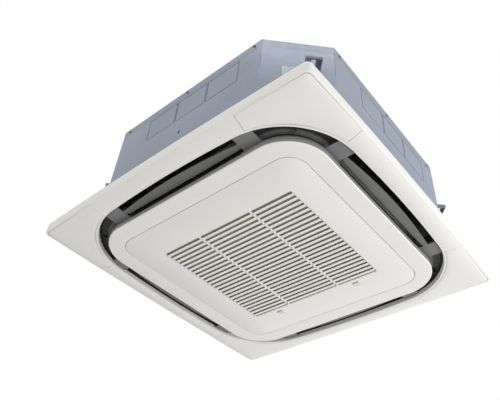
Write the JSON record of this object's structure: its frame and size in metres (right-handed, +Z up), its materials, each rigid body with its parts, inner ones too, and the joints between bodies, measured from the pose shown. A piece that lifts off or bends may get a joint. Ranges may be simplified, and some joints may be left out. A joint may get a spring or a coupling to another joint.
{
  "type": "ceiling cassette air conditioner",
  "caption": "Four-way ceiling air conditioner: square white panel with a slatted suction grille and curved flaps round it, below an octagonal galvanised casing on hanging brackets.",
  "frame": {"origin": "the unit's vertical centre line where it crosses the finished ceiling", "axes": "+Z up into the ceiling; +X along the grille's slats, to the right with the grille's hinge in front; +Y from the grille's hinge to its latches"},
  "size_m": [0.95, 0.95, 0.376],
  "materials": {
    "panel_white": "satin moulded plastic",
    "screw_steel": "zinc plated",
    "dark_foam": "closed-cell foam strip",
    "block_grey": "fine grain",
    "black_plastic": "moulded, fine grain",
    "flap_grey": "satin",
    "filter_grey": "fine mesh in a plain frame",
    "galvanised": "galvanised sheet, soft spangle",
    "white_foam": "expanded polystyrene beads",
    "motor_steel": "dark coated steel",
    "coil_aluminium": "fine vertical fins",
    "rubber_black": "matte",
    "copper_tube": "drawn copper",
    "brass_nut": "turned brass"
  },
  "bodies": {
    "unit": {"panel_frame": "panel_white", "corner_cover_back_right": "panel_white", "corner_cover_back_left": "panel_white", "corner_cover_front_left": "panel_white", "corner_cover_front_right": "panel_white", "inner_ring": "panel_white", "panel_screw_back_right": "screw_steel", "panel_screw_back_left": "screw_steel", "panel_screw_front_left": "screw_steel", "panel_screw_front_right": "screw_steel", "hinge_pin_left": "screw_steel", "hinge_pin_right": "screw_steel", "panel_seal": "dark_foam", "corner_duct_back_right": "block_grey", "corner_duct_back_left": "block_grey", "corner_duct_front_left": "block_grey", "corner_duct_front_right": "block_grey", "flap_motor_right": "black_plastic", "flap_motor_back": "black_plastic", "flap_motor_left": "black_plastic", "flap_motor_front": "black_plastic", "bell_mouth": "black_plastic", "drain_pump": "black_plastic", "float_switch": "black_plastic", "drain_socket": "flap_grey", "hanger_bracket_back_right": "galvanised", "hanger_bracket_back_left": "galvanised", "hanger_bracket_front_left": "galvanised", "hanger_bracket_front_right": "galvanised", "casing_shell": "galvanised", "top_plate": "galvanised", "control_box": "galvanised", "control_box_lid": "galvanised", "pipe_cover": "galvanised", "insulation_liner": "white_foam", "drain_pan": "white_foam", "fan_motor": "motor_steel", "heat_exchanger": "coil_aluminium", "motor_bush_1": "rubber_black", "motor_bush_2": "rubber_black", "motor_bush_3": "rubber_black", "drain_hose": "rubber_black", "drain_plug": "rubber_black", "wiring_grommet": "rubber_black", "gas_pipe": "copper_tube", "liquid_pipe": "copper_tube", "gas_flare_nut": "brass_nut", "liquid_flare_nut": "brass_nut"},
    "fan": {"turbo_fan": "black_plastic", "motor_shaft": "screw_steel", "fan_nut": "screw_steel"},
    "right_flap": {"flap_right": "flap_grey"},
    "back_flap": {"flap_back": "flap_grey"},
    "left_flap": {"flap_left": "flap_grey"},
    "front_flap": {"flap_front": "flap_grey"},
    "grille": {"suction_grille": "panel_white", "air_filter": "filter_grey"},
    "left_latch": {"grille_latch_left": "panel_white"},
    "right_latch": {"grille_latch_right": "panel_white"},
    "float_body": {"float": "panel_white"}
  },
  "joints": [
    {"name": "fan_spin", "type": "hinge", "parent": "unit", "child": "fan", "pos_m": [0, 0, 0.15], "axis": [0, 0, 1], "continuous": true},
    {"name": "right_flap_tilt", "type": "hinge", "parent": "unit", "child": "right_flap", "pos_m": [0.391, 0, -0.0135], "axis": [0, 1, 0], "range_deg": [0, 50]},
    {"name": "back_flap_tilt", "type": "hinge", "parent": "unit", "child": "back_flap", "pos_m": [0, 0.391, -0.0135], "axis": [-1, 0, 0], "range_deg": [0, 50]},
    {"name": "left_flap_tilt", "type": "hinge", "parent": "unit", "child": "left_flap", "pos_m": [-0.391, 0, -0.0135], "axis": [0, -1, 0], "range_deg": [0, 50]},
    {"name": "front_flap_tilt", "type": "hinge", "parent": "unit", "child": "front_flap", "pos_m": [0, -0.391, -0.0135], "axis": [1, 0, 0], "range_deg": [0, 50]},
    {"name": "grille_open", "type": "hinge", "parent": "unit", "child": "grille", "pos_m": [0, -0.266, -0.043], "axis": [-1, 0, 0], "range_deg": [0, 85]},
    {"name": "left_latch_slide", "type": "slide", "parent": "grille", "child": "left_latch", "axis": [0, -1, 0], "range_m": [0, 0.008], "stiffness_N_per_m": 300, "springref_m": -0.003},
    {"name": "right_latch_slide", "type": "slide", "parent": "grille", "child": "right_latch", "axis": [0, -1, 0], "range_m": [0, 0.008], "stiffness_N_per_m": 300, "springref_m": -0.003},
    {"name": "float_lift", "type": "slide", "parent": "unit", "child": "float_body", "axis": [0, 0, 1], "range_m": [0, 0.01]}
  ]
}
